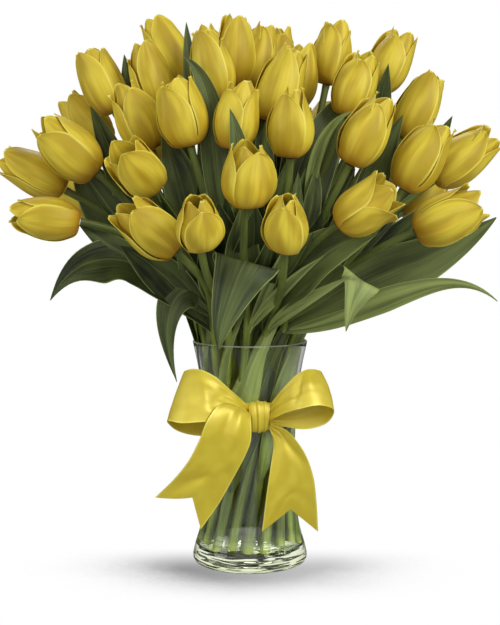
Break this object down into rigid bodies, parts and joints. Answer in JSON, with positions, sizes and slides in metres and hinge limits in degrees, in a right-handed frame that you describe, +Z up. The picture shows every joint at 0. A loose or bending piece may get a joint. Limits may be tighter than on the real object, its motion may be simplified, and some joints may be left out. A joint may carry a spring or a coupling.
{
  "type": "tulip bouquet in a vase",
  "caption": "Bunch of yellow tulips with long green leaves standing in water in a waisted glass vase, tied with a satin ribbon bow.",
  "frame": {"origin": "middle of the underside of the vase, on the surface that it stands on", "axes": "+Z up, -Y towards the front where the bow is, +X to the right seen from the front"},
  "size_m": [0.3923, 0.3275, 0.4395],
  "materials": {
    "vase_glass": "clear smooth glass with a thick polished foot",
    "water": "still clear water",
    "satin": "soft single-faced satin ribbon, sheen along the folds",
    "greens": "waxy leaves with fine long veins, smooth pale stems",
    "petals": "silky petals with fine long veins, paler at the edges"
  },
  "bodies": {
    "root": {"vase": "vase_glass", "water": "water", "ribbon_band": "satin", "ribbon_knot": "satin", "bow_loop_left": "satin", "bow_loop_right": "satin", "bow_tail_left": "satin", "bow_tail_right": "satin", "leafy_stems_outer_1": "greens", "leafy_stems_outer_2": "greens", "leafy_stems_outer_3": "greens", "leafy_stems_outer_4": "greens", "leafy_stems_outer_5": "greens", "leafy_stems_outer_6": "greens", "leafy_stems_outer_7": "greens", "leafy_stems_outer_8": "greens", "leafy_stems_inner_1": "greens", "leafy_stems_inner_2": "greens", "bloom_01": "petals", "bloom_02": "petals", "bloom_03": "petals", "bloom_04": "petals", "bloom_05": "petals", "bloom_06": "petals", "bloom_07": "petals", "bloom_08": "petals", "bloom_09": "petals", "bloom_10": "petals", "bloom_11": "petals", "bloom_12": "petals", "bloom_13": "petals", "bloom_14": "petals", "bloom_15": "petals", "bloom_16": "petals", "bloom_17": "petals", "bloom_18": "petals", "bloom_19": "petals", "bloom_20": "petals", "bloom_21": "petals", "bloom_22": "petals", "bloom_23": "petals", "bloom_24": "petals", "bloom_25": "petals", "bloom_26": "petals", "bloom_27": "petals", "bloom_28": "petals", "bloom_29": "petals", "bloom_30": "petals", "bloom_31": "petals", "bloom_32": "petals", "bloom_33": "petals", "bloom_34": "petals", "bloom_35": "petals", "bloom_36": "petals", "bloom_37": "petals", "bloom_38": "petals", "bloom_39": "petals", "bloom_40": "petals", "bloom_41": "petals", "bloom_42": "petals"}
  },
  "joints": []
}
